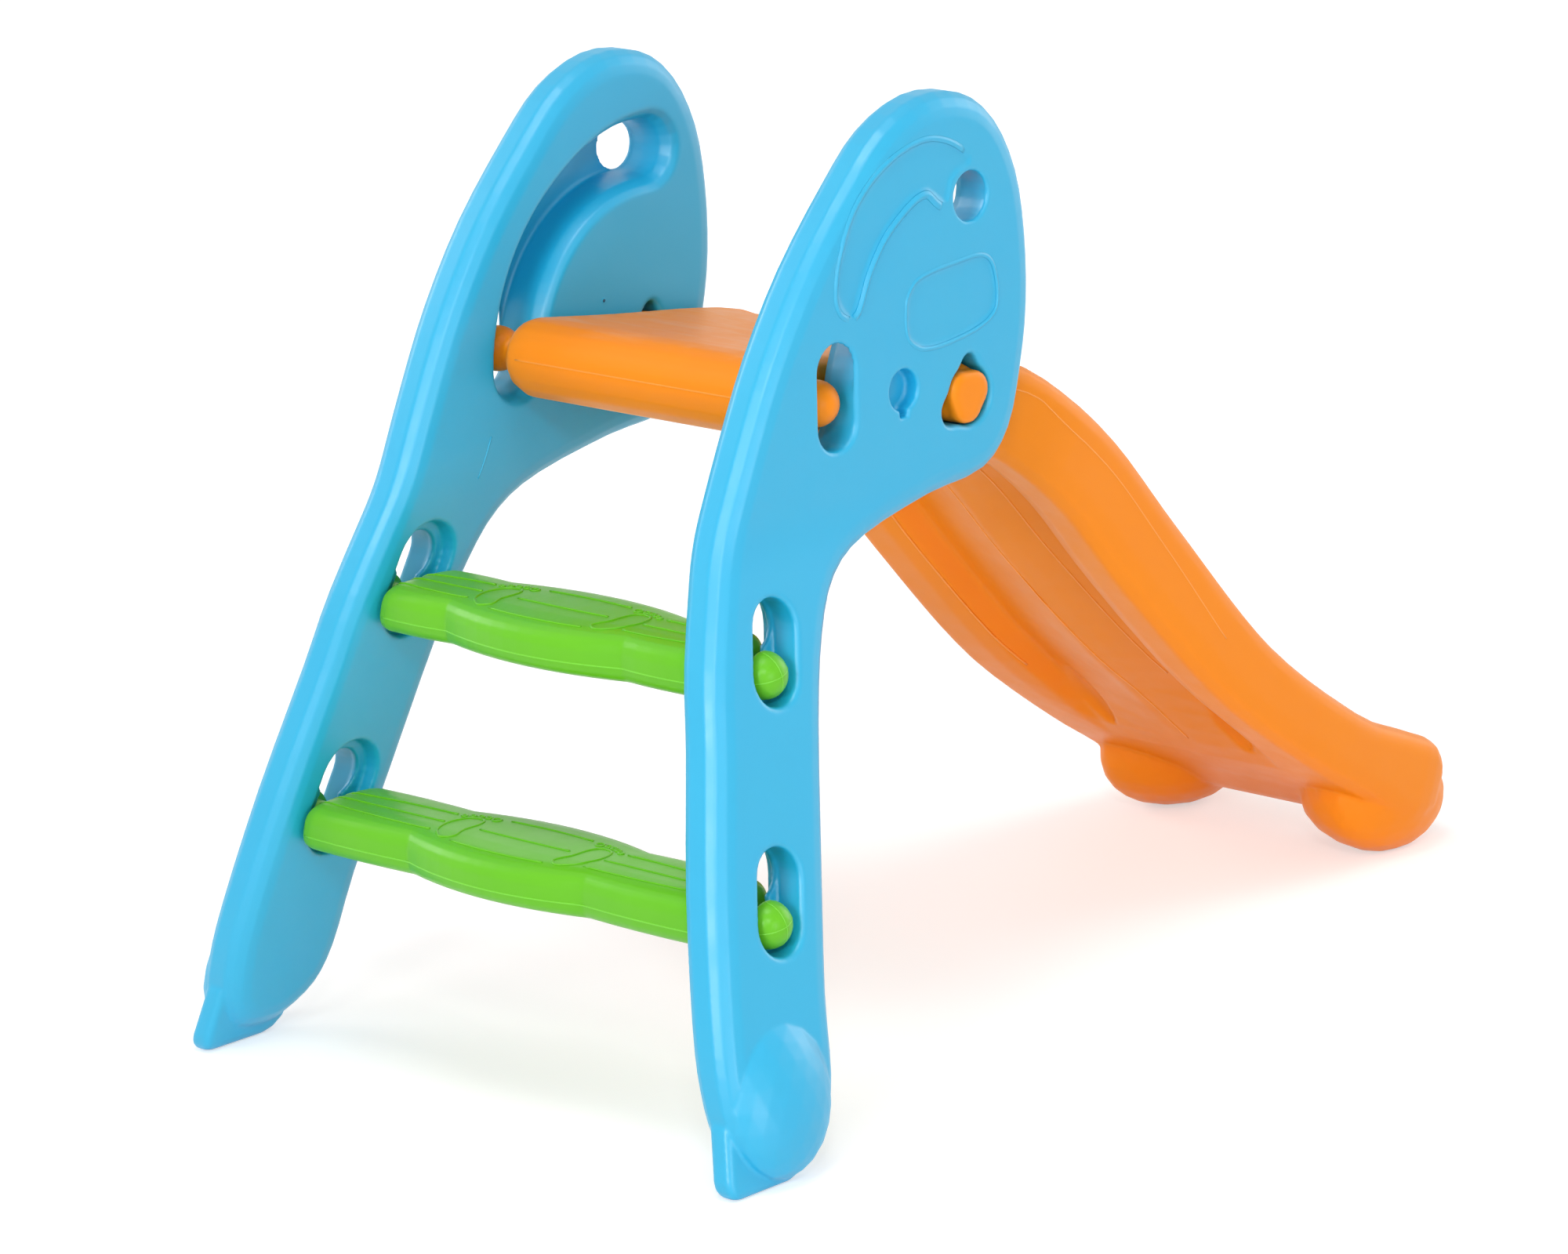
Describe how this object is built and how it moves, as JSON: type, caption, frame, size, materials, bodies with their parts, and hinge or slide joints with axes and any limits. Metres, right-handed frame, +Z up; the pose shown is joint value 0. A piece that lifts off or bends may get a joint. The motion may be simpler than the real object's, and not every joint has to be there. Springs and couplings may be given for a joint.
{
  "type": "folding play slide for small children",
  "caption": "Small indoor slide with a wide curved chute, two treads and bent side panels; the ladder folds up under the chute.",
  "frame": {"origin": "on the floor, in the middle of the overall length and width", "axes": "+X down the slide, from the ladder to the end of the chute, +Y to the left of a child who slides down, +Z up"},
  "size_m": [1.0134, 0.5686, 0.7045],
  "materials": {
    "blue_plastic": "satin moulded plastic",
    "green_plastic": "satin moulded plastic",
    "orange_plastic": "satin moulded plastic"
  },
  "bodies": {
    "slide": {"chute": "orange_plastic"},
    "ladder": {"side_panel_left": "blue_plastic", "side_panel_right": "blue_plastic", "step_lower": "green_plastic", "step_upper": "green_plastic"}
  },
  "joints": [
    {"name": "ladder_fold", "type": "hinge", "parent": "slide", "child": "ladder", "pos_m": [-0.13381, 0, 0.484], "axis": [0, -1, 0], "range_deg": [-5, 84.8]}
  ]
}
